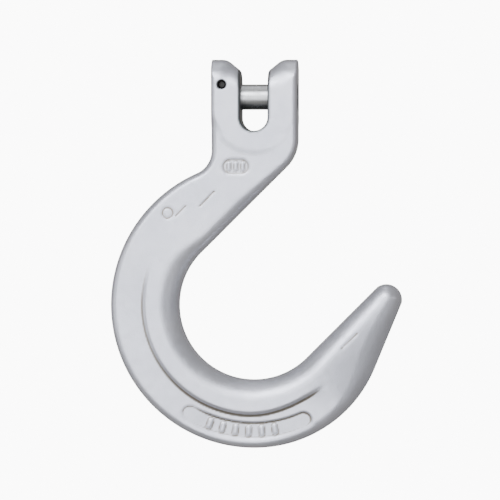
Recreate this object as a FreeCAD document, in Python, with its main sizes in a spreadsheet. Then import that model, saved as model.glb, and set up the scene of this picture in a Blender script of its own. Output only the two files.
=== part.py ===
"""Clevis foundry hook for 10 mm chain: forged hook, load pin and grooved retaining pin.

Millimetres. The origin is the middle of the load pin's axis, between the two ears.
+Z points up the load line, +X from the back of the hook towards its point, -Y is the front.
"""
import FreeCAD
import Part
import Sketcher
import math
import os

SIZES = (
    # name, value, what it is
    ("throat_radius", 38.0, "inside radius of the bowl, half of the 76 mm opening"),
    ("back_radius", 72.8, "outside radius of the bowl's back"),
    ("bowl_side", -0.5, "bowl centre, across"),
    ("bowl_drop", 105.2, "bowl centre, below the load pin's axis"),
    ("heel_radius", 66.0, "outside radius from the lowest point to the point's back"),
    ("heel_start_deg", -85.0, "direction from the bowl centre where the heel radius starts"),
    ("tip_radius", 8.0, "radius of the rounded point"),
    ("tip_along", 48.9, "tip centre, measured along the point from the bowl centre"),
    ("tip_fill", 0.95, "depth of the point's last section, as a share of the tip's"),
    ("tip_land", 0.3, "land of that section, as a share of the tip radius"),
    ("heel_overlap", 3.0, "how far the heel's bead section reaches into its web"),
    ("heel_web_width", 22.0, "heel web, from its outside edge in to under the bead"),
    ("heel_lap_deg", 2.0, "how far the heel's web laps over the start of the point"),
    ("point_inset", 0.15, "how far the point starts inside the heel's surface"),
    ("shank_depth", 23.0, "front to back over the shank, the neck and the bead"),
    ("web_depth", 18.6, "front to back over the thinner outer web"),
    ("bead_width", 16.6, "from the inside edge to the step between bead and web"),
    ("step_width", 2.0, "the slope of that step"),
    ("parting_land", 5.0, "flat trimmed land on the inside edge"),
    ("edge_radius", 3.5, "rounding of the outer edges"),
    ("bead_start_deg", 150.0, "direction from the bowl centre where the step runs out"),
    ("bead_full_deg", 230.0, "direction where the step reaches its full height"),
    ("neck_inner_radius", 12.2, "hollow radius between clevis and back"),
    ("neck_outer_radius", 20.8, "round radius between clevis and shank"),
    ("neck_edge_radius", 6.0, "rounding of the shank's inner edge at the neck"),
    ("clevis_width", 43.6, "across both ears"),
    ("clevis_depth", 24.0, "front to back over the ears"),
    ("clevis_edge", 2.8, "rounding of the clevis's front and back edges"),
    ("ear_top", 19.0, "top of the ears above the load pin's axis"),
    ("ear_flat", 7.8, "flat on top of each ear"),
    ("ear_slope_deg", 40.0, "slope from that flat down to the slot"),
    ("ear_round", 11.5, "front and back rounding of the ears' tops"),
    ("ear_corner", 3.0, "rounding between each ear's flat and slope"),
    ("clevis_foot_drop", 7.1, "centre of the clevis's round lower edge, below the load pin's axis"),
    ("slot_width", 13.8, "between the ears"),
    ("slot_edge", 1.0, "rounding of the slot's front and back edges"),
    ("slot_floor", 17.2, "lowest point of the slot below the load pin's axis"),
    ("load_pin_radius", 6.5, "radius of the load pin"),
    ("load_pin_length", 41.6, "length of the load pin"),
    ("load_pin_chamfer", 1.2, "bevel of the load pin's ends"),
    ("pin_gap", 0.08, "radial clearance of the load pin in the ears"),
    ("cross_hole_side", -16.3, "retaining pin's axis, across"),
    ("cross_hole_rise", 6.2, "retaining pin's axis, above the load pin's axis"),
    ("cross_pin_radius", 2.05, "radius of the retaining pin"),
    ("cross_pin_length", 20.0, "length of the retaining pin"),
    ("cross_pin_chamfer", 0.6, "bevel of the retaining pin's ends"),
    ("pin_groove_width", 0.7, "width of the V grooves rolled along the retaining pin"),
    ("pin_groove_depth", 0.35, "depth of those grooves"),
    ("cross_pin_recess", 3.0, "from the ear's front face to the retaining pin"),
    ("cross_gap", 0.05, "radial clearance of the retaining pin in the ear"),
    ("groove_gap", 0.3, "clearance between the load pin's ring groove and the retaining pin"),
    ("panel_inner", 59.4, "inside radius of the recessed marking panel"),
    ("panel_outer", 68.2, "outside radius of that panel"),
    ("panel_recess", 0.8, "depth of that panel"),
    ("panel_left_deg", 30.0, "its left end, from straight down"),
    ("panel_right_deg", 23.5, "its right end, from straight down"),
)
VALUE = {name: value for name, value, _ in SIZES}
POINT_SECTIONS = (
    # share of the way to the tip, web height as a share of the bead's, edge rounding as a share of that
    (0.0, 0.8, 0.39),
    (0.25, 0.95, 0.62),
    (0.5, 0.97, 0.8),
    (0.75, 0.97, 0.88),
    (1.0, 0.97, 0.9),
)
FADE_STEPS = 8  # sections over which the step reaches its full height
DIAGONAL = math.sqrt(0.5)
OUTSIDE = 1.0  # how far a cutting outline stands clear of the metal

doc = FreeCAD.newDocument("foundry_hook")
sheet = doc.addObject("Spreadsheet::Sheet", "Sizes")
for row, (name, value, meaning) in enumerate(SIZES, start=1):
    sheet.set(f"A{row}", meaning)
    sheet.set(f"B{row}", str(value))
    sheet.setAlias(f"B{row}", name)
doc.recompute()

BOWL = FreeCAD.Vector(VALUE["bowl_side"], 0, -VALUE["bowl_drop"])


def in_sheet(text):
    """Write a formula's size names as references to the sheet."""
    for name in sorted(VALUE, key=len, reverse=True):
        text = text.replace(f"<{name}>", f"Sizes.{name}")
    return text


def number(text):
    """The value of the same formula."""
    for name in VALUE:
        text = text.replace(f"<{name}>", f"({VALUE[name]})")
    return float(doc.Sizes.evalExpression(text))


def settle():
    """Recompute, and stop at the first object that failed."""
    doc.recompute()
    for item in doc.Objects:
        if "Invalid" in item.State or "Error" in item.State:
            raise RuntimeError(f"{item.Name}: {item.State} {item.getStatusString()}")


def towards(angle, length):
    """Sketch vector of a length at an angle in degrees, anticlockwise from the first axis."""
    turn = math.radians(angle)
    return FreeCAD.Vector(length * math.cos(turn), length * math.sin(turn), 0)


def arc(centre, radius, start, end):
    circle = Part.Circle(centre, FreeCAD.Vector(0, 0, 1), radius)
    return Part.ArcOfCircle(circle, math.radians(start), math.radians(end))


def polyline(points):
    return [Part.LineSegment(start, end) for start, end in zip(points, points[1:])]


def sketch_on(body, name, role, offset=None):
    """Sketch on one of the body's origin planes, moved by a placement within that plane's frame."""
    sketch = body.newObject("Sketcher::SketchObject", name)
    plane = next(item for item in body.Origin.OriginFeatures if item.Role == role)
    sketch.AttachmentSupport = [(plane, "")]
    sketch.MapMode = "FlatFace"
    if offset is not None:
        sketch.AttachmentOffset = offset
    return sketch


def rule(sketch, kind, *where, size=None):
    """Add a constraint; size is a formula over the sheet's names in angle brackets."""
    if size is None:
        sketch.addConstraint(Sketcher.Constraint(kind, *where))
        return
    start = number(size)
    if kind == "Angle":
        start = math.radians(start)
    index = sketch.addConstraint(Sketcher.Constraint(kind, *where, start))
    formula = in_sheet(size)
    if kind == "Angle":
        formula = f"({formula}) * 1 deg"
    sketch.setExpression(f"Constraints[{index}]", formula)


def chain(sketch, count, smooth=()):
    """Join elements end to start in a ring; smooth lists the joints that are tangent."""
    for index in range(count):
        following = (index + 1) % count
        kind = "Tangent" if index in smooth else "Coincident"
        rule(sketch, kind, index, 2, following, 1)


def pad(body, name, sketch, depth):
    """Pad a sketch by half the depth to each side of its plane."""
    feature = body.newObject("PartDesign::Pad", name)
    feature.Profile = sketch
    feature.SideType = "Symmetric"
    feature.setExpression("Length", in_sheet(depth))
    settle()


def cut_through(body, name, sketch, reversed_cut=False, both_ways=True):
    """Pocket a sketch, and make sure that it took metal away."""
    before = body.Shape.Volume
    feature = body.newObject("PartDesign::Pocket", name)
    feature.Profile = sketch
    if both_ways:
        feature.SideType = "Symmetric"
    feature.Reversed = reversed_cut
    feature.Type = "ThroughAll"
    settle()
    if not body.Shape.Volume < before - 0.01:
        raise RuntimeError(f"{name} cut nothing")


def round_edges(body, name, radius, chosen):
    """Fillet the edges of the body's last feature that a test picks."""
    base = body.Tip
    names = [f"Edge{index}" for index, edge in enumerate(base.Shape.Edges, start=1) if chosen(edge)]
    feature = body.newObject("PartDesign::Fillet", name)
    feature.Base = (base, names)
    feature.setExpression("Radius", in_sheet(radius))
    settle()


def point_on(edge, share=0.5):
    first, last = edge.ParameterRange
    return edge.valueAt(first + share * (last - first))


# ---------------------------------------------------------------- the hook's side view

HEEL_SHIFT = VALUE["back_radius"] - VALUE["heel_radius"]


def bowl_frame(angle):
    """Placement of a section plane that holds the bowl's axis, in a direction."""
    return FreeCAD.Placement(BOWL, FreeCAD.Rotation(FreeCAD.Vector(0, 1, 0), -angle))


HEEL = BOWL + bowl_frame(VALUE["heel_start_deg"]).Rotation.multVec(FreeCAD.Vector(HEEL_SHIFT, 0, 0))


def side_point(along, out):
    """Point of the side view from its distances along the point and outwards from the bowl centre."""
    return BOWL + FreeCAD.Vector((along + out) * DIAGONAL, 0, (along - out) * DIAGONAL)


def point_back():
    """The straight back of the point, tangent to the heel arc and to the tip circle.

    Returns its two tangent points, as distances along the point and out from the bowl centre.
    """
    turn = math.radians(VALUE["heel_start_deg"] + 45.0)
    heel = FreeCAD.Vector(HEEL_SHIFT * math.sin(turn), HEEL_SHIFT * math.cos(turn), 0)
    tip = FreeCAD.Vector(VALUE["tip_along"], VALUE["throat_radius"] + VALUE["tip_radius"], 0)
    span = tip - heel
    lean = math.acos((VALUE["heel_radius"] - VALUE["tip_radius"]) / span.Length)
    normal_turn = math.atan2(span.y, span.x) + lean
    normal = FreeCAD.Vector(math.cos(normal_turn), math.sin(normal_turn), 0)
    return heel, heel + normal * VALUE["heel_radius"], tip + normal * VALUE["tip_radius"]


def point_outline(along):
    """How far out the point's back lies, at a distance along the point."""
    heel, low_touch, high_touch = point_back()
    if along < low_touch.x:
        return heel.y + math.sqrt(VALUE["heel_radius"] ** 2 - (along - heel.x) ** 2)
    share = (along - low_touch.x) / (high_touch.x - low_touch.x)
    return low_touch.y + share * (high_touch.y - low_touch.y)


def section_frame(inner, outer):
    """Placement of a section plane: its first axis runs from an inner to an outer point."""
    direction = outer - inner
    angle = math.degrees(math.atan2(direction.z, direction.x))
    return FreeCAD.Placement(inner, FreeCAD.Rotation(FreeCAD.Vector(0, 1, 0), -angle))


def place(sketch, element, end, across, up):
    """Fix an element's end by formulas for its distances from the sketch's origin."""
    rule(sketch, "DistanceX", -1, 1, element, end, size=across)
    rule(sketch, "DistanceY", -1, 1, element, end, size=up)


def web_section(body, name, frame, inner, width, bead, step, slope, web, corner, land):
    """Closed section: rounded inner bead, a step, the thinner web and its rounded outer edge.

    The sizes are formulas: distances run outwards from the plane's origin, heights from mid-depth.
    """
    near, far = number(inner), number(f"{inner} + {width}")
    round_bead, half_land = number(bead), number(f"({land}) / 2")
    step_out, slope_out = near + number(step), near + number(f"{step} + {slope}")
    top, rounding = number(web), number(corner)
    middle = FreeCAD.Vector(near + math.sqrt(round_bead ** 2 - half_land ** 2), 0, 0)
    lip = math.degrees(math.asin(half_land / round_bead))
    upper = [
        FreeCAD.Vector(near, half_land, 0),
        FreeCAD.Vector(middle.x, round_bead, 0),
        FreeCAD.Vector(step_out, round_bead, 0),
        FreeCAD.Vector(slope_out, top, 0),
        FreeCAD.Vector(far - rounding, top, 0),
        FreeCAD.Vector(far, top - rounding, 0),
    ]
    lower = [FreeCAD.Vector(point.x, -point.y, 0) for point in upper]
    round_top = FreeCAD.Vector(far - rounding, top - rounding, 0)
    round_low = FreeCAD.Vector(far - rounding, rounding - top, 0)
    sketch = sketch_on(body, name, "XY_Plane", frame)
    sketch.addGeometry([
        arc(middle, round_bead, 180 + lip, 270),
        Part.LineSegment(lower[1], lower[2]),
        Part.LineSegment(lower[2], lower[3]),
        Part.LineSegment(lower[3], lower[4]),
        arc(round_low, rounding, 270, 360),
        Part.LineSegment(lower[5], upper[5]),
        arc(round_top, rounding, 0, 90),
        Part.LineSegment(upper[4], upper[3]),
        Part.LineSegment(upper[3], upper[2]),
        Part.LineSegment(upper[2], upper[1]),
        arc(middle, round_bead, 90, 180 - lip),
        Part.LineSegment(upper[0], lower[0]),
    ], False)
    chain(sketch, 12)
    for element, end in ((0, 1), (0, 2), (1, 2), (2, 2), (3, 2), (4, 2)):
        rule(sketch, "Symmetric", element, end, 10 - element, 3 - end, -1)
    for element, radius in ((0, bead), (10, bead), (4, corner), (6, corner)):
        rule(sketch, "Radius", element, size=radius)
    rule(sketch, "PointOnObject", 10, 3, -1)
    place(sketch, 10, 2, inner, f"({land}) / 2")
    rule(sketch, "Vertical", 10, 1, 10, 3)
    place(sketch, 8, 2, f"{inner} + {step}", bead)
    place(sketch, 7, 2, f"{inner} + {step} + {slope}", web)
    place(sketch, 6, 2, f"{inner} + {width} - ({corner})", web)
    place(sketch, 6, 1, f"{inner} + {width}", f"{web} - ({corner})")
    return sketch


def turned(body, name, sketch, angle, backwards=False):
    """Revolve a section about the sketch's own second axis; the angle grows anticlockwise in front."""
    feature = body.newObject("PartDesign::Revolution", name)
    feature.Profile = sketch
    feature.ReferenceAxis = (sketch, ["V_Axis"])
    feature.Angle = angle
    feature.Reversed = not backwards
    settle()


def join(sketch, joints):
    """Join element ends in pairs; a joint marked smooth is tangent."""
    for first, first_end, second, second_end, smooth in joints:
        rule(sketch, "Tangent" if smooth else "Coincident", first, first_end, second, second_end)


def new_body(name):
    body = doc.addObject("PartDesign::Body", name)
    body.Label = name
    return body


BEAD = "<shank_depth> / 2"
WEB = "<web_depth> / 2"
BOWL_WIDTH = "<back_radius> - <throat_radius>"
START_DEG = VALUE["bead_start_deg"]
FULL_DEG = VALUE["bead_full_deg"]
HEEL_DEG = VALUE["heel_start_deg"]
SHANK_DEG = 135.0  # where the inside edge leaves the bowl for the shank
POINT_DEG = -45.0  # where it leaves the bowl for the point

# ---------------------------------------------------------------- clevis

HALF_WIDTH = VALUE["clevis_width"] / 2
HALF_DEPTH = VALUE["clevis_depth"] / 2


def clevis_block():
    """The fork's blank: straight sides, a round foot, and ears that slope in towards the slot."""
    body = new_body("clevis_block")
    top, foot = VALUE["ear_top"], -VALUE["clevis_foot_drop"]
    shoulder = HALF_WIDTH - VALUE["ear_flat"]
    funnel = VALUE["slot_width"] / 4
    funnel_up = top - (shoulder - funnel) * math.tan(math.radians(VALUE["ear_slope_deg"]))
    corners = [(HALF_WIDTH, foot), (HALF_WIDTH, top), (shoulder, top), (funnel, funnel_up),
               (-funnel, funnel_up), (-shoulder, top), (-HALF_WIDTH, top), (-HALF_WIDTH, foot)]
    ends = [FreeCAD.Vector(across, up, 0) for across, up in corners]
    sketch = sketch_on(body, "clevis_outline", "XZ_Plane")
    sketch.addGeometry(polyline(ends), False)
    sketch.addGeometry(arc(FreeCAD.Vector(0, foot, 0), HALF_WIDTH, 180, 360), False)
    chain(sketch, 8, smooth=(6, 7))
    for element in (0, 6):
        rule(sketch, "Vertical", element)
    rule(sketch, "Horizontal", 1)
    rule(sketch, "Symmetric", 0, 2, 5, 2, -2)
    rule(sketch, "Symmetric", 1, 2, 4, 2, -2)
    rule(sketch, "Symmetric", 2, 2, 3, 2, -2)
    rule(sketch, "DistanceX", -1, 1, 0, 2, size="<clevis_width> / 2")
    rule(sketch, "DistanceY", -1, 1, 0, 2, size="<ear_top>")
    rule(sketch, "DistanceY", 7, 3, -1, 1, size="<clevis_foot_drop>")
    rule(sketch, "DistanceX", -1, 1, 1, 2, size="<clevis_width> / 2 - <ear_flat>")
    rule(sketch, "DistanceX", -1, 1, 2, 2, size="<slot_width> / 4")
    rule(sketch, "DistanceY", 2, 2, 2, 1,
         size="(<clevis_width> / 2 - <ear_flat> - <slot_width> / 4) * tan(<ear_slope_deg> * 1 deg)")
    pad(body, "clevis_pad", sketch, "<clevis_depth>")

    def at_shoulder(edge):
        middle = point_on(edge)
        return abs(abs(middle.x) - shoulder) < 0.01 and abs(middle.z - top) < 0.01 and abs(middle.y) < 0.01

    round_edges(body, "ear_shoulders", "<ear_corner>", at_shoulder)

    # The ears' tops are rounded from front to back.
    cutter = sketch_on(body, "ear_round_cut", "YZ_Plane")
    radius = VALUE["ear_round"]
    inner, low = HALF_DEPTH - radius, top - radius
    for side in (1, -1):
        points = [FreeCAD.Vector(side * y, z, 0) for y, z in (
            (inner, top), (inner, top + OUTSIDE), (HALF_DEPTH + OUTSIDE, top + OUTSIDE),
            (HALF_DEPTH + OUTSIDE, low), (HALF_DEPTH, low))]
        first = cutter.GeometryCount
        cutter.addGeometry(polyline(points), False)
        turns = (0, 90) if side > 0 else (90, 180)
        cutter.addGeometry(arc(FreeCAD.Vector(side * inner, low, 0), radius, *turns), False)
        outer_end, inner_end = (1, 2) if side > 0 else (2, 1)
        join(cutter, [(first + index, 2, first + index + 1, 1, False) for index in range(3)])
        join(cutter, [(first + 3, 2, first + 4, outer_end, False), (first, 1, first + 4, inner_end, False)])
        for element in (first, first + 2):
            rule(cutter, "Vertical", element)
        for element in (first + 1, first + 3):
            rule(cutter, "Horizontal", element)
        rule(cutter, "Horizontal", first + 4, 3, first + 4, outer_end)
        rule(cutter, "Vertical", first + 4, 3, first + 4, inner_end)
        place(cutter, first + 4, 3,
              f"{side} * (<clevis_depth> / 2 - <ear_round>)", "<ear_top> - <ear_round>")
        rule(cutter, "Radius", first + 4, size="<ear_round>")
        place(cutter, first + 1, 2,
              f"{side} * (<clevis_depth> / 2 + {OUTSIDE})", f"<ear_top> + {OUTSIDE}")
    cut_through(body, "ear_rounds", cutter)

    def on_side_or_foot(edge):
        middle = point_on(edge)
        on_side = abs(abs(middle.x) - HALF_WIDTH) < 0.01 and middle.z > foot
        on_foot = abs(math.hypot(middle.x, middle.z - foot) - HALF_WIDTH) < 0.01 and middle.z < foot
        return (on_side or on_foot) and edge.BoundBox.YLength < HALF_DEPTH * 1.5

    round_edges(body, "clevis_rounding", "<clevis_edge>", on_side_or_foot)
    return body


clevis = clevis_block()

# ---------------------------------------------------------------- hook body

hook = new_body("hook_body")


def neck_outline():
    """Side view of the straight shank and the neck, up into the clevis."""
    top = -VALUE["clevis_foot_drop"]
    outer, hollow = VALUE["neck_outer_radius"], VALUE["neck_inner_radius"]
    back, throat = VALUE["back_radius"], VALUE["throat_radius"]
    bowl = FreeCAD.Vector(BOWL.x, BOWL.z, 0)
    outer_centre = FreeCAD.Vector(HALF_WIDTH - outer, 0, 0)
    outer_centre.y = bowl.y + (throat + outer) / DIAGONAL + (outer_centre.x - bowl.x)
    hollow_centre = FreeCAD.Vector(-HALF_WIDTH - hollow, 0, 0)
    hollow_centre.y = bowl.y + math.sqrt((back + hollow) ** 2 - (hollow_centre.x - bowl.x) ** 2)
    to_bowl = bowl - hollow_centre
    turn = math.degrees(math.atan2(to_bowl.y, to_bowl.x))
    sketch = sketch_on(hook, "neck_outline", "XZ_Plane")
    sketch.addGeometry([
        Part.LineSegment(bowl + towards(SHANK_DEG, throat), outer_centre + towards(-45, outer)),
        arc(outer_centre, outer, -45, 0),
        Part.LineSegment(outer_centre + towards(0, outer), FreeCAD.Vector(HALF_WIDTH, top, 0)),
        Part.LineSegment(FreeCAD.Vector(HALF_WIDTH, top, 0), FreeCAD.Vector(-HALF_WIDTH, top, 0)),
        Part.LineSegment(FreeCAD.Vector(-HALF_WIDTH, top, 0), hollow_centre + towards(0, hollow)),
        arc(hollow_centre, hollow, turn, 0),
        arc(bowl, back, turn + 180, SHANK_DEG),
        Part.LineSegment(bowl + towards(SHANK_DEG, back), bowl + towards(SHANK_DEG, throat)),
    ], False)
    join(sketch, ((0, 2, 1, 1, True), (1, 2, 2, 1, True), (2, 2, 3, 1, False), (3, 2, 4, 1, False),
                  (4, 2, 5, 2, True), (5, 1, 6, 1, True), (6, 2, 7, 1, False), (7, 2, 0, 1, False)))
    rule(sketch, "Vertical", 2)
    rule(sketch, "Horizontal", 3)
    rule(sketch, "Vertical", 4)
    rule(sketch, "Radius", 1, size="<neck_outer_radius>")
    rule(sketch, "Radius", 5, size="<neck_inner_radius>")
    rule(sketch, "Radius", 6, size="<back_radius>")
    place(sketch, 6, 3, "<bowl_side>", "-<bowl_drop>")
    rule(sketch, "PointOnObject", 6, 3, 7)
    rule(sketch, "Perpendicular", 0, 7)
    rule(sketch, "Angle", 0, size="45")
    rule(sketch, "Distance", 6, 3, 0, 1, size="<throat_radius>")
    rule(sketch, "DistanceX", -1, 1, 2, 2, size="<clevis_width> / 2")
    rule(sketch, "DistanceX", 4, 1, -1, 1, size="<clevis_width> / 2")
    rule(sketch, "DistanceY", 2, 2, -1, 1, size="<clevis_foot_drop>")
    return sketch


pad(hook, "neck", neck_outline(), "<shank_depth>")
FACE = VALUE["shank_depth"] / 2


def along_faces(edge):
    """An edge of the neck's front or back face, and not the end that meets the bowl or the clevis."""
    middle = point_on(edge)
    on_face = abs(abs(middle.y) - FACE) < 0.01 and edge.BoundBox.YLength < 0.01
    across = FreeCAD.Vector(middle.x - BOWL.x, 0, middle.z - BOWL.z)
    on_root = abs(across.x + across.z) < 0.01 and across.Length < VALUE["back_radius"]
    on_top = abs(middle.z + VALUE["clevis_foot_drop"]) < 0.01
    return on_face and not on_root and not on_top


def on_inside(edge):
    """One of those edges on the throat's side of the shank, from the bowl up to the clevis."""
    middle = point_on(edge)
    return along_faces(edge) and middle.x > BOWL.x - (middle.z - BOWL.z) * 0.2 and middle.x > 1 - HALF_WIDTH


def on_outside(edge):
    return along_faces(edge) and not on_inside(edge)


round_edges(hook, "neck_outer_edges", "<edge_radius>", on_outside)
round_edges(hook, "neck_inner_edges", "<neck_edge_radius>", on_inside)


def shank_bead_cut():
    """Round the shank's inside edge to the bowl's bead; the cut runs out as the neck turns upright."""
    throat, radius = VALUE["throat_radius"], VALUE["shank_depth"] / 2
    half_land = VALUE["parting_land"] / 2
    crest = throat + math.sqrt(radius ** 2 - half_land ** 2)
    lip = math.degrees(math.asin(half_land / radius))
    sketch = sketch_on(hook, "shank_bead_outline", "XY_Plane", bowl_frame(SHANK_DEG))
    for side in (1, -1):
        points = [FreeCAD.Vector(out, side * up, 0) for out, up in (
            (throat, half_land), (throat - OUTSIDE, half_land), (throat - OUTSIDE, radius + OUTSIDE),
            (crest, radius + OUTSIDE), (crest, radius))]
        first = sketch.GeometryCount
        sketch.addGeometry(polyline(points), False)
        turns = (90, 180 - lip) if side > 0 else (180 + lip, 270)
        sketch.addGeometry(arc(FreeCAD.Vector(crest, 0, 0), radius, *turns), False)
        crest_end, lip_end = (1, 2) if side > 0 else (2, 1)
        join(sketch, [(first + index, 2, first + index + 1, 1, False) for index in range(3)])
        join(sketch, [(first + 3, 2, first + 4, crest_end, False), (first, 1, first + 4, lip_end, False)])
        for element in (first, first + 2):
            rule(sketch, "Horizontal", element)
        for element in (first + 1, first + 3):
            rule(sketch, "Vertical", element)
        rule(sketch, "PointOnObject", first + 4, 3, -1)
        rule(sketch, "Vertical", first + 4, 3, first + 4, crest_end)
        rule(sketch, "Radius", first + 4, size=BEAD)
        place(sketch, first, 1, "<throat_radius>", f"{side} * <parting_land> / 2")
        place(sketch, first + 1, 2, f"<throat_radius> - {OUTSIDE}", f"{side} * ({BEAD} + {OUTSIDE})")
    cut_through(hook, "shank_bead", sketch, both_ways=False)


shank_bead_cut()


def bowl_section(name, angle, web):
    return web_section(hook, name, bowl_frame(angle), "<throat_radius>", BOWL_WIDTH, BEAD, "<bead_width>",
                       "<step_width>", web, "<edge_radius>", "<parting_land>")


def fade(first_size, last_size, share):
    """Formula for a size on its way from a first value to a last one."""
    return f"(({first_size}) * {1 - share:.3f} + ({last_size}) * {share:.3f})"


def loft(name, sections):
    feature = hook.newObject("PartDesign::AdditiveLoft", name)
    feature.Profile = sections[0]
    feature.Sections = sections[1:]
    settle()


# Bowl: the full section, from where the step has its full height round to the heel.
turned(hook, "bowl", bowl_section("bowl_section", FULL_DEG, WEB), 360 + HEEL_DEG - FULL_DEG)

# Between shank and bowl the web drops away gently from the level of the bead.
fade_sections = []
for index in range(FADE_STEPS + 1):
    share = index / FADE_STEPS
    angle = START_DEG + share * (FULL_DEG - START_DEG)
    web = fade(BEAD, WEB, share * share * (3 - 2 * share))
    fade_sections.append(bowl_section(f"fade_section_{index}", angle, web))
loft("step_fade", fade_sections)

# Shank root: the same width with no step, back to where the inside edge turns straight.
turned(hook, "shank_root", bowl_section("root_section", START_DEG, BEAD), START_DEG - SHANK_DEG,
       backwards=True)

# Heel: the bead keeps turning about the bowl centre, the web turns about the heel's own centre.
heel_bead = web_section(hook, "heel_bead_section", bowl_frame(HEEL_DEG), "<throat_radius>",
                        "<bead_width> + <step_width> + <heel_overlap>", BEAD, "<bead_width>",
                        "<step_width>", WEB, "<heel_overlap> / 3", "<parting_land>")
turned(hook, "heel_bead", heel_bead, POINT_DEG - HEEL_DEG)
point_root = side_point(0, point_outline(0))
heel_end_deg = math.degrees(math.atan2(point_root.z - HEEL.z, point_root.x - HEEL.x))
heel_plane = FreeCAD.Placement(HEEL, bowl_frame(HEEL_DEG).Rotation)
heel_web = web_section(hook, "heel_web_section", heel_plane, "<heel_radius> - <heel_web_width>",
                       "<heel_web_width>", WEB, "<heel_web_width> / 2", "<step_width>",
                       WEB, "<edge_radius>", "<parting_land>")
turned(hook, "heel_web", heel_web, heel_end_deg - HEEL_DEG + VALUE["heel_lap_deg"])

# Point: sections that narrow from the bowl's section to the tip's circle.

point_sections = []
tip_touch = point_back()[2]
for index, (share, web_share, edge_share) in enumerate(POINT_SECTIONS):
    inset = VALUE["point_inset"] * (1 - share)
    inner_point = side_point(share * VALUE["tip_along"], VALUE["throat_radius"] + inset)
    outer_along = share * tip_touch.x
    outer_point = side_point(outer_along, point_outline(outer_along) - inset)
    bead_height = fade(f"{BEAD} - <point_inset>", "<tip_radius> * <tip_fill>", share)
    web_height = f"({bead_height} * {web_share})"
    point_sections.append(web_section(
        hook, f"point_section_{index}", section_frame(inner_point, outer_point), "0",
        f"{(outer_point - inner_point).Length:.6f}", bead_height,
        fade("<bead_width>", "<tip_radius> * <tip_fill>", share),
        fade("<step_width>", "<tip_radius> * (1 - <tip_fill>)", share),
        web_height, f"({web_height} * {edge_share})",
        fade("<parting_land>", "<tip_radius> * <tip_land>", share)))
loft("point", point_sections)

# The rounded end of the point.
tip = hook.newObject("PartDesign::AdditiveSphere", "tip")
tip_centre = side_point(VALUE["tip_along"], VALUE["throat_radius"] + VALUE["tip_radius"])
tip.AttachmentSupport = [(next(item for item in hook.Origin.OriginFeatures if item.Role == "XY_Plane"), "")]
tip.MapMode = "FlatFace"
tip.AttachmentOffset = FreeCAD.Placement(tip_centre, FreeCAD.Rotation())
tip.setExpression("Radius", in_sheet("<tip_radius>"))
settle()

# Fork: the clevis block is forged in one with the hook.
fork = hook.newObject("PartDesign::Boolean", "fork")
fork.setObjects([clevis])
fork.Type = "Fuse"
settle()


def slot_outline():
    """Side view of the slot: straight cheeks and a round floor."""
    half = VALUE["slot_width"] / 2
    centre, top = half - VALUE["slot_floor"], VALUE["ear_top"] + OUTSIDE
    sketch = sketch_on(hook, "slot_outline", "XZ_Plane")
    sketch.addGeometry([
        Part.LineSegment(FreeCAD.Vector(half, centre, 0), FreeCAD.Vector(half, top, 0)),
        Part.LineSegment(FreeCAD.Vector(half, top, 0), FreeCAD.Vector(-half, top, 0)),
        Part.LineSegment(FreeCAD.Vector(-half, top, 0), FreeCAD.Vector(-half, centre, 0)),
        arc(FreeCAD.Vector(0, centre, 0), half, 180, 360),
    ], False)
    chain(sketch, 4, smooth=(2, 3))
    rule(sketch, "Vertical", 0)
    rule(sketch, "Horizontal", 1)
    rule(sketch, "Vertical", 2)
    rule(sketch, "PointOnObject", 3, 3, -2)
    rule(sketch, "Radius", 3, size="<slot_width> / 2")
    rule(sketch, "DistanceY", 3, 3, -1, 1, size="<slot_floor> - <slot_width> / 2")
    rule(sketch, "DistanceY", -1, 1, 0, 2, size=f"<ear_top> + {OUTSIDE}")
    return sketch


cut_through(hook, "slot", slot_outline())


def on_slot_face(edge):
    """The slot's front and back edges on the flat faces."""
    middle = point_on(edge)
    half = VALUE["slot_width"] / 2
    centre = half - VALUE["slot_floor"]
    on_cheek = abs(abs(middle.x) - half) < 0.01 and middle.z > centre
    on_floor = abs(math.hypot(middle.x, middle.z - centre) - half) < 0.01 and middle.z < centre
    return (on_cheek or on_floor) and abs(abs(middle.y) - HALF_DEPTH) < 0.01


round_edges(hook, "slot_rounding", "<slot_edge>", on_slot_face)


def bore(name, role, across, up, radius):
    """Round hole square to one of the origin planes, right through."""
    sketch = sketch_on(hook, name + "_circle", role)
    centre = FreeCAD.Vector(number(across), number(up), 0)
    sketch.addGeometry(Part.Circle(centre, FreeCAD.Vector(0, 0, 1), number(radius)), False)
    if number(across) or number(up):
        place(sketch, 0, 3, across, up)
    else:
        rule(sketch, "Coincident", 0, 3, -1, 1)
    rule(sketch, "Radius", 0, size=radius)
    cut_through(hook, name, sketch)


bore("load_pin_bore", "YZ_Plane", "0", "0", "<load_pin_radius> + <pin_gap>")
bore("cross_hole", "XZ_Plane", "<cross_hole_side>", "<cross_hole_rise>", "<cross_pin_radius> + <cross_gap>")


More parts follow.
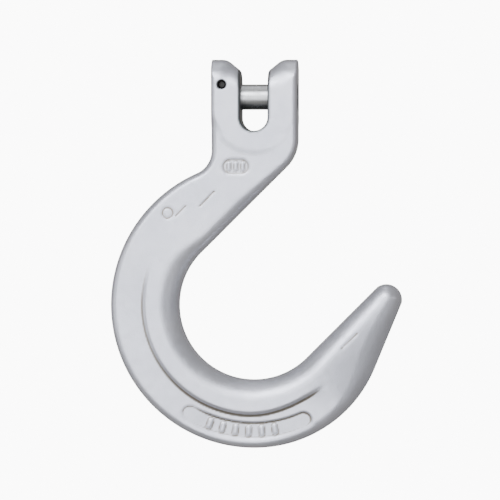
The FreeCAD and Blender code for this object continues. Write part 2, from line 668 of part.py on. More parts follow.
def marking_panel(side, name):
    """Shallow kidney-shaped recess in one face of the web; side is 1 in front and -1 behind."""
    inner, outer = VALUE["panel_inner"], VALUE["panel_outer"]
    left, right = 270 - VALUE["panel_left_deg"], 270 + VALUE["panel_right_deg"]
    middle, half = (inner + outer) / 2, (outer - inner) / 2
    bowl = FreeCAD.Vector(BOWL.x, BOWL.z, 0)
    offset = FreeCAD.Placement(FreeCAD.Vector(0, 0, 1), FreeCAD.Rotation())
    sketch = sketch_on(hook, name + "_outline", "XZ_Plane", offset)
    lift = in_sheet(f"{side} * (<web_depth> / 2 - <panel_recess>)")
    sketch.setExpression("AttachmentOffset.Base.z", lift)
    sketch.addGeometry([
        arc(bowl, outer, left, right),
        arc(bowl + towards(right, middle), half, right, right + 180),
        arc(bowl, inner, left, right),
        arc(bowl + towards(left, middle), half, left + 180, left + 360),
    ], False)
    sketch.addGeometry([
        Part.LineSegment(bowl, bowl + towards(left, middle)),
        Part.LineSegment(bowl, bowl + towards(right, middle)),
    ], True)
    join(sketch, ((0, 2, 1, 1, True), (1, 2, 2, 2, True), (2, 1, 3, 1, True), (3, 2, 0, 1, True),
                  (0, 3, 2, 3, False), (4, 1, 0, 3, False), (5, 1, 0, 3, False),
                  (4, 2, 3, 3, False), (5, 2, 1, 3, False)))
    place(sketch, 0, 3, "<bowl_side>", "-<bowl_drop>")
    rule(sketch, "Radius", 0, size="<panel_outer>")
    rule(sketch, "Radius", 2, size="<panel_inner>")
    rule(sketch, "Angle", 4, size="270 - <panel_left_deg>")
    rule(sketch, "Angle", 5, size="270 + <panel_right_deg>")
    cut_through(hook, name, sketch, reversed_cut=side > 0, both_ways=False)


marking_panel(1, "front_panel")
marking_panel(-1, "back_panel")

# ---------------------------------------------------------------- load pin

load_pin = new_body("load_pin")


def load_pin_outline():
    """Half of the load pin's length section: chamfered ends and the retaining pin's ring groove."""
    half, radius = VALUE["load_pin_length"] / 2, VALUE["load_pin_radius"]
    bevel = VALUE["load_pin_chamfer"]
    groove_radius = VALUE["cross_pin_radius"] + VALUE["groove_gap"]
    centre = FreeCAD.Vector(VALUE["cross_hole_side"], VALUE["cross_hole_rise"], 0)
    rise = radius - centre.y
    mouth = math.sqrt(groove_radius ** 2 - rise ** 2)
    lean = math.degrees(math.asin(rise / groove_radius))
    stations = [(half, 0), (half, radius - bevel), (half - bevel, radius), (centre.x + mouth, radius),
                (centre.x - mouth, radius), (bevel - half, radius), (-half, radius - bevel), (-half, 0)]
    ends = [FreeCAD.Vector(across, up, 0) for across, up in stations]
    sketch = sketch_on(load_pin, "load_pin_outline", "XZ_Plane")
    sketch.addGeometry(polyline(ends[:4]), False)
    sketch.addGeometry(arc(centre, groove_radius, 180 - lean, 360 + lean), False)
    sketch.addGeometry(polyline(ends[4:]), False)
    sketch.addGeometry(Part.LineSegment(ends[7], ends[0]), False)
    join(sketch, ((0, 2, 1, 1, False), (1, 2, 2, 1, False), (2, 2, 3, 2, False), (3, 1, 4, 1, False),
                  (4, 2, 5, 1, False), (5, 2, 6, 1, False), (6, 2, 7, 1, False), (7, 2, 0, 1, False)))
    place(sketch, 3, 3, "<cross_hole_side>", "<cross_hole_rise>")
    rule(sketch, "Radius", 3, size="<cross_pin_radius> + <groove_gap>")
    for element in (2, 4, 7):
        rule(sketch, "Horizontal", element)
    for element in (0, 6):
        rule(sketch, "Vertical", element)
    rule(sketch, "PointOnObject", 7, 1, -1)
    rule(sketch, "DistanceX", -1, 1, 0, 1, size="<load_pin_length> / 2")
    rule(sketch, "DistanceX", 7, 1, -1, 1, size="<load_pin_length> / 2")
    rule(sketch, "DistanceY", -1, 1, 1, 2, size="<load_pin_radius>")
    rule(sketch, "DistanceY", -1, 1, 5, 1, size="<load_pin_radius>")
    for element, top_end, side_end in ((1, 2, 1), (5, 1, 2)):
        rule(sketch, "DistanceX", element, 2, element, 1, size="<load_pin_chamfer>")
        rule(sketch, "DistanceY", element, side_end, element, top_end, size="<load_pin_chamfer>")
    return sketch


turned_pin = load_pin.newObject("PartDesign::Revolution", "turned_pin")
turned_pin.Profile = load_pin_outline()
turned_pin.ReferenceAxis = (turned_pin.Profile[0], ["H_Axis"])
turned_pin.Angle = 360
settle()

# ---------------------------------------------------------------- retaining pin

retaining_pin = new_body("retaining_pin")
end_circle = sketch_on(retaining_pin, "end_circle", "XZ_Plane")
end_circle.addGeometry(
    Part.Circle(FreeCAD.Vector(0, 0, 0), FreeCAD.Vector(0, 0, 1), VALUE["cross_pin_radius"]), False)
rule(end_circle, "Coincident", 0, 3, -1, 1)
rule(end_circle, "Radius", 0, size="<cross_pin_radius>")
pad(retaining_pin, "round_bar", end_circle, "<cross_pin_length>")


def at_end(edge):
    return abs(abs(point_on(edge).y) - VALUE["cross_pin_length"] / 2) < 0.01


bevel = retaining_pin.newObject("PartDesign::Chamfer", "end_bevels")
bevel.Base = (doc.getObject("round_bar"), [
    f"Edge{index}" for index, edge in enumerate(retaining_pin.Shape.Edges, start=1) if at_end(edge)])
bevel.setExpression("Size", in_sheet("<cross_pin_chamfer>"))
settle()


def groove_outline():
    """End view of one V groove; its sides run on past the pin's surface."""
    bottom = VALUE["cross_pin_radius"] - VALUE["pin_groove_depth"]
    half = VALUE["pin_groove_width"]
    top = VALUE["cross_pin_radius"] + VALUE["pin_groove_depth"]
    points = [FreeCAD.Vector(0, bottom, 0), FreeCAD.Vector(half, top, 0), FreeCAD.Vector(-half, top, 0)]
    sketch = sketch_on(retaining_pin, "groove_outline", "XZ_Plane")
    sketch.addGeometry(polyline(points + points[:1]), False)
    chain(sketch, 3)
    rule(sketch, "PointOnObject", 0, 1, -2)
    rule(sketch, "Symmetric", 1, 1, 1, 2, -2)
    rule(sketch, "DistanceY", -1, 1, 0, 1, size="<cross_pin_radius> - <pin_groove_depth>")
    rule(sketch, "DistanceY", -1, 1, 1, 1, size="<cross_pin_radius> + <pin_groove_depth>")
    rule(sketch, "DistanceX", 1, 2, 1, 1, size="<pin_groove_width> * 2")
    return sketch


cut_through(retaining_pin, "groove", groove_outline())
grooves = retaining_pin.newObject("PartDesign::PolarPattern", "grooves")
grooves.Originals = [doc.getObject("groove")]
grooves.Axis = (doc.getObject("end_circle"), ["N_Axis"])
grooves.Angle = 360
grooves.Occurrences = 3
retaining_pin.Tip = grooves
settle()
retaining_pin.setExpression("Placement.Base.x", in_sheet("<cross_hole_side>"))
retaining_pin.setExpression(
    "Placement.Base.y", in_sheet("<cross_pin_recess> + <cross_pin_length> / 2 - <clevis_depth> / 2"))
retaining_pin.setExpression("Placement.Base.z", in_sheet("<cross_hole_rise>"))
settle()

# ---------------------------------------------------------------- checks and files

os.makedirs("parts", exist_ok=True)
for body in (hook, load_pin, retaining_pin):
    shape = body.Shape
    if shape.isNull() or not shape.isValid() or len(shape.Solids) != 1:
        raise RuntimeError(f"{body.Label} is not one valid solid")
    print(f"{body.Label}: {shape.Volume / 1000:.1f} cm3, {shape.BoundBox}")
    shape.exportStep(os.path.join("parts", body.Label + ".step"))
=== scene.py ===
"""Looks of the clevis foundry hook: one drop-forged hook with its load pin and its retaining pin.

The hook is meshed from a description of its metal: metal(x, y, z) is negative inside the forging.
Lengths in that description are millimetres from the middle of the load pin, with x to the right, y to the
back and z up. Blender objects are in metres.
"""
import math

import bpy
import numpy as np
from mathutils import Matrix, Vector


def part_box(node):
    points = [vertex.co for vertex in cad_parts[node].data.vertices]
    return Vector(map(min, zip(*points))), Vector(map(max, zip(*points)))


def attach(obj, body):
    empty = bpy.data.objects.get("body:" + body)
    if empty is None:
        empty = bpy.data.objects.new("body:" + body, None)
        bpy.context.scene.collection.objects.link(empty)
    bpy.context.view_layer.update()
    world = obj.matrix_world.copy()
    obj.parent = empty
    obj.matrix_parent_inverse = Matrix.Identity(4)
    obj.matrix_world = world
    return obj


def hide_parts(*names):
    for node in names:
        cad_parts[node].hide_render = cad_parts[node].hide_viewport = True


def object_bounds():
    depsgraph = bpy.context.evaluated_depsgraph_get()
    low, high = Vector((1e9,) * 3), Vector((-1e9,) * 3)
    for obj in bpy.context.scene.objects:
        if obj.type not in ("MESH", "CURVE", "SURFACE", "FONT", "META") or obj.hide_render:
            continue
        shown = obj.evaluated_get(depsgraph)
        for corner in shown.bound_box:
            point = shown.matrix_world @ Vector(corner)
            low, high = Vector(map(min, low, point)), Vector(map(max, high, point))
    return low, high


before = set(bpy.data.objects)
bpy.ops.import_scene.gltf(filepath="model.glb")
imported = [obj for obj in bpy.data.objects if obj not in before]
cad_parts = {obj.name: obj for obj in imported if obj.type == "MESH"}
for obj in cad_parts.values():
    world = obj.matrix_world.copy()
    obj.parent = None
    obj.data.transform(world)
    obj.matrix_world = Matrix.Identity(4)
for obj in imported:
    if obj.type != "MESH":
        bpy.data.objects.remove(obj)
cad_low, cad_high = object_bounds()

MM = 0.001
hook_low, hook_high = (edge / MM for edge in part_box("hook_body"))
load_pin_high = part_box("load_pin")[1] / MM
cross_low, cross_high = (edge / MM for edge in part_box("retaining_pin"))

# ---------------------------------------------------------------- sizes of the forging, mm

# Side view.
DIAGONAL = math.sqrt(0.5)
THROAT_RADIUS = 37.7  # inside of the bowl
BACK_RADIUS = 72.8  # outside of the bowl's back
HEEL_RADIUS = 66.0  # outside from the lowest point to the point's back
HEEL_START = math.radians(-85)  # direction where the heel radius takes over
TIP_RADIUS = 8.0
TIP_ALONG = 49.2  # tip centre, along the point from the bowl centre
TIP_OUT = THROAT_RADIUS + TIP_RADIUS  # tip centre, out from the bowl centre
BOWL_X = hook_high.x - TIP_RADIUS - (TIP_ALONG + TIP_OUT) * DIAGONAL
BOWL_Z = -105.2
NECK_HOLLOW = 12.2  # radius of the hollow under the left ear
NECK_ROUND = 20.8  # radius of the bend under the right ear
EAR_TOP = hook_high.z
EAR_HALF_WIDTH = 21.8
EAR_FLAT = 7.8  # width of each ear's level top
EAR_SLOPE = math.radians(40)  # fall of the rest of the top towards the slot
CLEVIS_FOOT = -7.1  # centre of the clevis's round lower edge
SLOT_HALF = 6.9  # half the slot's width, and the radius of its floor
SLOT_CENTRE = -10.3  # centre of the slot's round floor

# Faces of bowl and point. A turn is a direction round the bowl centre in degrees, along is measured
# along the point from the bowl centre, and in means in from the side that faces the load.
SHANK_HALF = 11.5  # half depth of shank, neck and bead
BEAD_WIDTH = 17.3
BEAD_LOSS = 1.6  # how much narrower the bead gets towards the point
BEAD_LOSS_TURNS = (265, 300)
WEB_DROP = 2.2  # how far the web lies below the bead
STEP_FLANK = (-1.1, 1.7)  # start and end of the step between them, past the bead's width
STEP_GROWS = ((148, 185), (205, 255))  # turns where it reaches half its height, and all of it
STEP_ENDS = (296, 313)  # turns where it runs out again
SLOPE_ALONG = (-26, 4)  # where the point's faces begin to slope
SLOPE_IN = 8.5  # where they leave the crest
SLOPE_FALL = 0.18  # how much they fall for each millimetre
SLOPE_SOFT = 1.5  # how gradually the fall sets in
CROWN_ALONG = (-5, 25)  # where they begin to curve as well
CROWN = 0.0045  # that curve's fall for each square millimetre
NECK_LIFT = 0.4  # extra half depth of the neck under the right ear
NECK_LIFT_Z = (-48, -22)
NECK_LIFT_X = (-4, 14)

# Edges of bowl, shank and point.
BEAD_ROUND = 6.5  # the load side's rounding on the shank
BEAD_ROUND_ALONG = (-18, 10)  # where it shrinks to that from the full half depth
CLEVIS_ROUND_ALONG = (25, 75)  # and where it goes on to the clevis's own
EDGE_ROUND = 3.4  # rounding of the outside
BOTTOM_ROUND = 5.3  # the same at the bottom of the bowl
BOTTOM_ROUND_ALONG = (-50, -25)
HEEL_ROUND = 10.0  # the same where the heel runs into the point
HEEL_ROUND_ALONG = (-12, 26)
EDGE_SOFT = 0.6  # softness between a rounding and the upright band at the parting plane
ROUND_REACH = 0.9  # how much of a rounding a thin place may use up
LAND = 0.19  # trimmed land on the inside edge, half its height as a share of the rounding
DRAFT = math.tan(math.radians(5))  # slope of the forged sides away from the parting plane
NECK_DRAFT = 0.2  # share of that slope left at the neck
NECK_DRAFT_Z = (-60, -20)
PARTING = 1.0  # half width of the upright band at the parting plane
TIP_REACH = 30  # how far back from the tip's centre the round end shapes the point

# Clevis.
EAR_HALF_DEPTH = hook_high.y
EAR_ROUND = 11.5  # rounding of the ears' tops from face to face
EAR_ROUND_SLOT = 8.0  # the same beside the slot
EAR_ROUND_START = 2  # how far out from each ear's slope the first turns into the second
EAR_SOFT = 1.6  # softness between each ear's flat and its slope
CLEVIS_EDGE = 2.5  # rounding of the ears' upright edges
FOOT_Z = (-8, -20)  # where the clevis turns into its foot
FOOT_EDGE = 7.0  # rounding of the edge along the foot
FOOT_REACH = 4.0  # how far that rounding starts outside the clevis's own width
FOOT_TUCK = 0.5  # how much narrower each side is at the foot
SHANK_TOP = -5  # where the shank ends inside the clevis
SHANK_FADE = 8.0  # how softly it ends
CLEVIS_FADE = 0.8  # softness of the hollow where clevis and neck meet
HOLE_EDGES = (1.2, 0.8, 0.6)  # softness of the edges of slot, bore and retaining hole
PIN_BORE = load_pin_high.y + 0.08
CROSS_BORE = (cross_high.x - cross_low.x) / 2 + 0.1
CROSS_X = (cross_high.x + cross_low.x) / 2
CROSS_Z = (cross_high.z + cross_low.z) / 2

# Marking panel in the web, and the plain marks.
PANEL_MIDDLE = 63.8  # radius of the panel's middle line
PANEL_HALF = 4.4  # half its width
PANEL_DEPTH = 0.75
PANEL_LEFT = math.radians(-30)  # from straight down
PANEL_RIGHT = math.radians(23.5)
PANEL_RUN_IN = 0.2  # angle over which the left end gets its full depth
PANEL_RUN_IN_DEPTH = 0.4  # share of the depth at that end
PANEL_SOFT = (0.6, 2.0)  # half width of the sloping edge, on the bowl's side and on the outside
PANEL_BARS = range(-20, 11, 6)  # their directions in degrees from straight down
PANEL_BAR = (1.5, 1.0)  # half length and half width
PANEL_BAR_HEIGHT = 0.5
PATCH = (-9.1, -35.3)  # centre of the shallow patch on the neck
PATCH_SIZE = (2.8, 4.0)  # half length of its straight edges, radius of its ends
PATCH_DEPTH = 0.35
PATCH_BARS = (-3.5, 0, 3.5)  # places of its bars, from its centre
PATCH_BAR = (1.5, 0.6)
PATCH_BAR_SOFT = 0.7
MARK_SOFT = 0.8  # half width of the flanks of patch and bars
RING = (-43.6, -58.8)  # centre of the ring sunk in the shank
RING_RADIUS = 2.6
RING_HALF = 0.45
RING_DEPTH = 0.32
RING_SOFT = 1.0
STROKES = (  # centre, angle, half length, half width, depth and softness of each sunk stroke
    ((-37.0, -57.7), math.radians(46), 3.3, 0.35, 0.28, 0.9),
    ((-23.6, -51.6), math.radians(46), 5.0, 0.3, 0.4, 0.6),
    ((48.2, -123.4), math.radians(44), 5.2, 0.5, 0.35, 0.9),
)

BOWL = (BOWL_X, BOWL_Z)
HEEL_SHIFT = BACK_RADIUS - HEEL_RADIUS
HEEL = (BOWL_X + HEEL_SHIFT * math.cos(HEEL_START), BOWL_Z + HEEL_SHIFT * math.sin(HEEL_START))
TIP = (BOWL_X + (TIP_ALONG + TIP_OUT) * DIAGONAL, BOWL_Z + (TIP_ALONG - TIP_OUT) * DIAGONAL)


# ---------------------------------------------------------------- blending and simple distances

def ramp(value, start, end):
    """Smooth climb from 0 at start to 1 at end."""
    share = np.clip((value - start) / (end - start), 0, 1)
    return share * share * (3 - 2 * share)


def mix(first, second, share):
    return first + (second - first) * share


def both(first, second, fillet):
    """Solid inside two others, with a soft edge between them."""
    near = np.maximum(fillet - np.abs(first - second), 0) / fillet
    return np.maximum(first, second) + near * near * fillet / 4


def either(first, second, fillet):
    """Solid of two others, with a soft hollow between them."""
    return -both(-first, -second, fillet)


def corner(first, second, radius):
    """Solid inside two faces that meet at a right angle, rounded to a radius."""
    first, second = first + radius, second + radius
    return (np.hypot(np.maximum(first, 0), np.maximum(second, 0)) - radius
            + np.minimum(np.maximum(first, second), 0))


# ---------------------------------------------------------------- the hook's side view

ENDLESS = 1000.0  # longer than any edge, mm


def line_edge(x, z, start, angle, low, high):
    """Gap to a straight edge, positive on its left, and whether a point lies beside its stretch."""
    right, up = x - start[0], z - start[1]
    along = right * math.cos(angle) + up * math.sin(angle)
    gap = up * math.cos(angle) - right * math.sin(angle)
    return gap, (along >= low) & (along <= high)


def arc_edge(x, z, centre, radius, middle, reach, solid):
    """Gap to an arc round a direction; solid is 1 where it encloses the metal and -1 where it does not."""
    right, up = x - centre[0], z - centre[1]
    turn = np.angle(np.exp(1j * (np.arctan2(up, right) - middle)))
    return solid * (radius - np.hypot(right, up)), np.abs(turn) <= reach


def nearest(edges):
    """Gap to the closest of the edges that a point lies beside."""
    best = np.full(np.broadcast(*edges[0]).shape, ENDLESS)
    for gap, beside in edges:
        best = np.where(beside & (np.abs(gap) < np.abs(best)), gap, best)
    return best


NECK_CENTRE_X = EAR_HALF_WIDTH - NECK_ROUND
NECK_CENTRE_Z = BOWL_Z + (THROAT_RADIUS + NECK_ROUND) / DIAGONAL + NECK_CENTRE_X - BOWL_X
HOLLOW_X = -EAR_HALF_WIDTH - NECK_HOLLOW
HOLLOW_Z = BOWL_Z + math.sqrt((BACK_RADIUS + NECK_HOLLOW) ** 2 - (HOLLOW_X - BOWL_X) ** 2)
HOLLOW_TURN = math.atan2(HOLLOW_Z - BOWL_Z, HOLLOW_X - BOWL_X)
TIP_SPAN = (TIP[0] - HEEL[0], TIP[1] - HEEL[1])
BACK_NORMAL = (math.atan2(TIP_SPAN[1], TIP_SPAN[0])
               - math.acos((HEEL_RADIUS - TIP_RADIUS) / math.hypot(*TIP_SPAN)))
BACK_START = (HEEL[0] + HEEL_RADIUS * math.cos(BACK_NORMAL), HEEL[1] + HEEL_RADIUS * math.sin(BACK_NORMAL))


def arc_between(x, z, centre, radius, start, end, solid):
    return arc_edge(x, z, centre, radius, (start + end) / 2, abs(end - start) / 2, solid)


def throat_gap(x, z):
    """Distance into the metal from the side that faces the load."""
    along_shank = (BOWL_X - THROAT_RADIUS * DIAGONAL, BOWL_Z + THROAT_RADIUS * DIAGONAL)
    along_point = (BOWL_X + THROAT_RADIUS * DIAGONAL, BOWL_Z - THROAT_RADIUS * DIAGONAL)
    neck = (NECK_CENTRE_X, NECK_CENTRE_Z)
    shank_length = ((NECK_CENTRE_X - along_shank[0]) + (NECK_CENTRE_Z - along_shank[1])) * DIAGONAL
    gap, beside = line_edge(x, z, along_point, math.pi / 4, 0, ENDLESS)
    return nearest((
        line_edge(x, z, (EAR_HALF_WIDTH, NECK_CENTRE_Z), math.pi / 2, 0, ENDLESS),
        arc_between(x, z, neck, NECK_ROUND, -math.pi / 4, 0, 1),
        line_edge(x, z, along_shank, math.pi / 4, 0, shank_length),
        arc_between(x, z, BOWL, THROAT_RADIUS, math.pi * 0.75, math.pi * 1.75, -1),
        (-gap, beside),
    ))


def back_gap(x, z):
    """Distance into the metal from the outside of the hook."""
    gap, beside = line_edge(x, z, (-EAR_HALF_WIDTH, HOLLOW_Z), math.pi / 2, 0, ENDLESS)
    return nearest((
        (-gap, beside),
        arc_between(x, z, (HOLLOW_X, HOLLOW_Z), NECK_HOLLOW, HOLLOW_TURN - math.pi, 0, -1),
        arc_between(x, z, BOWL, BACK_RADIUS, HOLLOW_TURN, HEEL_START + math.tau, 1),
        arc_between(x, z, HEEL, HEEL_RADIUS, HEEL_START, BACK_NORMAL, 1),
        line_edge(x, z, BACK_START, BACK_NORMAL + math.pi / 2, 0, ENDLESS),
    ))


# ---------------------------------------------------------------- relief on the faces

def bar(x, z, centre, angle, half_length, half_width):
    """Distance outside a straight stroke with round ends."""
    right, up = x - centre[0], z - centre[1]
    along = right * math.cos(angle) + up * math.sin(angle)
    off = up * math.cos(angle) - right * math.sin(angle)
    return np.hypot(np.maximum(np.abs(along) - half_length, 0), off) - half_width


def raised(distance, height, soft):
    """Height of a mark with sloping flanks, from the distance outside its outline."""
    return height * (1 - ramp(distance, -soft, soft))


def panel(x, z):
    """Distance outside the kidney-shaped marking panel in the web, and the panel's depth there."""
    right, up = x - BOWL_X, z - BOWL_Z
    turn = np.arctan2(right, -up)
    held = np.clip(turn, PANEL_LEFT, PANEL_RIGHT)
    outside = np.hypot(right - PANEL_MIDDLE * np.sin(held), up + PANEL_MIDDLE * np.cos(held)) - PANEL_HALF
    soft = mix(*PANEL_SOFT, ramp(np.hypot(right, up) - PANEL_MIDDLE, 0, PANEL_HALF))
    run_in = ramp(turn, PANEL_LEFT, PANEL_LEFT + PANEL_RUN_IN)
    return outside, raised(outside, PANEL_DEPTH * mix(PANEL_RUN_IN_DEPTH, 1, run_in), soft)


def panel_marks(x, z):
    """Plain raised bars in the panel, evenly spaced, where the maker puts its markings."""
    height = 0
    for degrees in PANEL_BARS:
        turn = math.radians(degrees)
        centre = (BOWL_X + PANEL_MIDDLE * math.sin(turn), BOWL_Z - PANEL_MIDDLE * math.cos(turn))
        distance = bar(x, z, centre, turn - math.pi / 2, *PANEL_BAR)
        height = height + raised(distance, PANEL_BAR_HEIGHT, MARK_SOFT)
    return height


def neck_patch(x, z):
    """Distance outside the shallow patch on the neck's front."""
    return bar(x, z, PATCH, 0, *PATCH_SIZE)


def face_marks(x, z):
    """Plain shapes that stand in for the forged marks on neck and shank, and the two gauge marks."""
    height = -raised(neck_patch(x, z), PATCH_DEPTH, MARK_SOFT)
    for across in PATCH_BARS:
        distance = bar(x, z, (PATCH[0] + across, PATCH[1]), math.pi / 2, *PATCH_BAR)
        height = height + raised(distance, PATCH_DEPTH, PATCH_BAR_SOFT)
    ring = np.abs(np.hypot(x - RING[0], z - RING[1]) - RING_RADIUS) - RING_HALF
    height = height - raised(ring, RING_DEPTH, RING_SOFT)
    for centre, angle, half_length, half_width, depth, soft in STROKES:
        height = height - raised(bar(x, z, centre, angle, half_length, half_width), depth, soft)
    return height


# ---------------------------------------------------------------- the metal

def face_depth(x, z, inner, along, on_point, to_tip):
    """Half depth of the plain faces: bead, step, web and the sloping face of the point."""
    turn = np.degrees(np.mod(np.arctan2(z - BOWL_Z, x - BOWL_X), math.tau))
    half_way, all_the_way = STEP_GROWS
    stepped = (ramp(turn, *half_way) + ramp(turn, *all_the_way)) / 2 * (1 - ramp(turn, *STEP_ENDS))
    width = BEAD_WIDTH - BEAD_LOSS * ramp(turn, *BEAD_LOSS_TURNS)
    step = WEB_DROP * ramp(inner, width + STEP_FLANK[0], width + STEP_FLANK[1])
    slope = np.where(on_point, ramp(along, *SLOPE_ALONG), 0)
    crown = np.where(on_point, CROWN * ramp(along, *CROWN_ALONG), 0)
    past = np.maximum(inner - SLOPE_IN, 0)
    depth = mix(SHANK_HALF, TIP_RADIUS, to_tip) - step * stepped
    depth = depth - slope * SLOPE_FALL * past * past / (past + SLOPE_SOFT) - crown * past * past
    return depth + NECK_LIFT * ramp(z, *NECK_LIFT_Z) * ramp(x, *NECK_LIFT_X)


def edge_rounds(along, on_point, to_tip):
    """Rounding of the load side and of the outside."""
    shank = mix(SHANK_HALF, BEAD_ROUND, ramp(along, *BEAD_ROUND_ALONG))
    shank = mix(shank, CLEVIS_EDGE, ramp(along, *CLEVIS_ROUND_ALONG))
    load_side = np.where(on_point, mix(SHANK_HALF, TIP_RADIUS, to_tip), shank)
    outside = mix(EDGE_ROUND, BOTTOM_ROUND, np.where(on_point, ramp(along, *BOTTOM_ROUND_ALONG), 0))
    outside = mix(outside, HEEL_ROUND, np.where(on_point, ramp(along, *HEEL_ROUND_ALONG), 0))
    at_tip = ramp(along, HEEL_ROUND_ALONG[1], TIP_ALONG)
    return load_side, mix(outside, TIP_RADIUS, np.where(on_point, at_tip, 0))


def point_end(x, y, z):
    """Distance outside the point's cone with its round end, and how far ahead of the tip's centre."""
    axis = (math.pi / 4 + BACK_NORMAL + math.pi / 2) / 2
    taper = axis - math.pi / 4
    ahead = (x - TIP[0]) * math.cos(axis) + (z - TIP[1]) * math.sin(axis)
    beside = (z - TIP[1]) * math.cos(axis) - (x - TIP[0]) * math.sin(axis)
    wide = np.hypot(beside, y)
    cone = wide * math.cos(taper) + ahead * math.sin(taper)
    ball = ahead * math.cos(taper) > wide * math.sin(taper)
    return np.where(ball, np.hypot(ahead, wide), cone) - TIP_RADIUS, ahead


def hook_solid(x, y, z):
    """Bowl, shank, neck and point: distance outside the forging, without its clevis."""
    inner, outer = throat_gap(x, z), back_gap(x, z)
    right, up = x - BOWL_X, z - BOWL_Z
    along = (right + up) * DIAGONAL
    on_point = right > up
    to_tip = np.where(on_point, np.clip(along / TIP_ALONG, 0, 1), 0)
    depth = face_depth(x, z, inner, along, on_point, to_tip)
    depth = depth + face_marks(x, z) * (y < 0) - panel(x, z)[1] + panel_marks(x, z)
    half = np.abs(y) - depth

    bead, rim = edge_rounds(along, on_point, to_tip)
    land = bead * (1 - math.sqrt(1 - LAND ** 2))
    load_side = both(corner(-inner - land, half, bead), -inner, EDGE_SOFT)
    tuck = rim - np.sqrt(rim ** 2 - np.clip(rim - depth, 0, rim * ROUND_REACH) ** 2)
    lean = DRAFT * mix(1, NECK_DRAFT, ramp(z, *NECK_DRAFT_Z)) * np.maximum(np.abs(y) - PARTING, 0)
    outside = both(corner(lean - outer - tuck, half, rim), -outer, EDGE_SOFT)
    body = np.maximum(load_side, outside)

    end, ahead = point_end(x, y, z)
    return np.where(on_point & (ahead > -TIP_REACH), np.maximum(body, end), body)


def clevis_solid(x, y, z):
    """The fork's blank, without its slot and its bores."""
    to_foot = ramp(z, *FOOT_Z)
    foot = np.where(z > CLEVIS_FOOT, np.abs(x), np.hypot(x, z - CLEVIS_FOOT)) - FOOT_REACH * to_foot
    side = np.maximum(foot, np.abs(x) + FOOT_TUCK * to_foot) - EAR_HALF_WIDTH
    face = np.abs(y) - EAR_HALF_DEPTH
    block = corner(side, face, mix(CLEVIS_EDGE, FOOT_EDGE, to_foot))
    shoulder = EAR_HALF_WIDTH - EAR_FLAT
    slope = (z - EAR_TOP + (shoulder - np.abs(x)) * math.tan(EAR_SLOPE)) * math.cos(EAR_SLOPE)
    at_slot = ramp(np.abs(x), shoulder + EAR_ROUND_START, SLOT_HALF)
    top = corner(both(z - EAR_TOP, slope, EAR_SOFT), face, mix(EAR_ROUND, EAR_ROUND_SLOT, at_slot))
    return np.maximum(block, top)


def openings(x, y, z):
    """Distances outside the slot, the load pin's bore and the retaining pin's hole."""
    slot = np.where(z > SLOT_CENTRE, np.abs(x), np.hypot(x, z - SLOT_CENTRE)) - SLOT_HALF
    return slot, np.hypot(y, z) - PIN_BORE, np.hypot(x - CROSS_X, z - CROSS_Z) - CROSS_BORE


def metal(x, y, z):
    """Negative inside the whole forging, about the distance from its surface in millimetres."""
    shank = both(hook_solid(x, y, z), z - SHANK_TOP, SHANK_FADE)
    forging = either(shank, clevis_solid(x, y, z), CLEVIS_FADE)
    forging = np.maximum(forging, np.abs(y) - EAR_HALF_DEPTH)
    for hole, softness in zip(openings(x, y, z), HOLE_EDGES):
        forging = both(forging, -hole, softness)
    return forging


# ---------------------------------------------------------------- meshing

PITCH = 0.7  # size of the grid cells, mm
LEAST_SLOPE = 0.05  # keeps a step onto the surface finite where metal() hardly changes
RELAX_SHARE = 0.6  # how far each round of evening out moves a point
BEND_REACH = 0.5  # how far round a point its bend is measured, mm
PAINTED_SHADE_FADE = (0.15, 0.8)  # where the painted shade of the holes fades out, mm outside them
SLOT_RIM = 0.8  # how much wider the slot's painted shade reaches, onto its rounded rim
RECESS_SHADE = 0.12  # share of the painted shade's darkness in panel and patch


def surface_net(low, high):
    """One point in each grid cell that the surface crosses, and a quad round each edge that it cuts."""
    counts = [int(math.ceil((top - bottom) / PITCH)) + 1 for bottom, top in zip(low, high)]
    axes = [bottom + PITCH * np.arange(count) for bottom, count in zip(low, counts)]
    grid = np.meshgrid(*axes, indexing="ij", sparse=True)
    inside = metal(*grid) < 0
    corners = sum(inside[i:counts[0] - 1 + i, j:counts[1] - 1 + j, k:counts[2] - 1 + k].astype(np.int8)
                  for i in (0, 1) for j in (0, 1) for k in (0, 1))
    crossed = (corners > 0) & (corners < 8)
    number = np.full(crossed.shape, -1)
    number[crossed] = np.arange(np.count_nonzero(crossed))
    points = np.array(low) + (np.argwhere(crossed) + 0.5) * PITCH
    quads = []
    for axis in range(3):
        state, cells = np.moveaxis(inside, axis, 0), np.moveaxis(number, axis, 0)
        a, b, c = np.nonzero(state[:-1, 1:-1, 1:-1] != state[1:, 1:-1, 1:-1])
        ring = np.stack((cells[a, b, c], cells[a, b + 1, c], cells[a, b + 1, c + 1], cells[a, b, c + 1]), 1)
        flip = state[a, b + 1, c + 1] == (axis == 1)
        ring[flip] = ring[flip][:, ::-1]
        quads.append(ring)
    return points, np.concatenate(quads)


def steepest(points, reach=0.05):
    """Gradient of the metal function at each point."""
    columns = []
    for axis in range(3):
        step = np.zeros(3)
        step[axis] = reach
        columns.append((metal(*(points + step).T) - metal(*(points - step).T)) / (2 * reach))
    return np.stack(columns, 1)


def settle(points, rounds):
    """Move points onto the surface."""
    for _ in range(rounds):
        slope = steepest(points)
        square = np.maximum((slope ** 2).sum(1), LEAST_SLOPE)
        step = np.clip(metal(*points.T) / square, -PITCH / 2, PITCH / 2)
        points = points - step[:, None] * slope
    return points


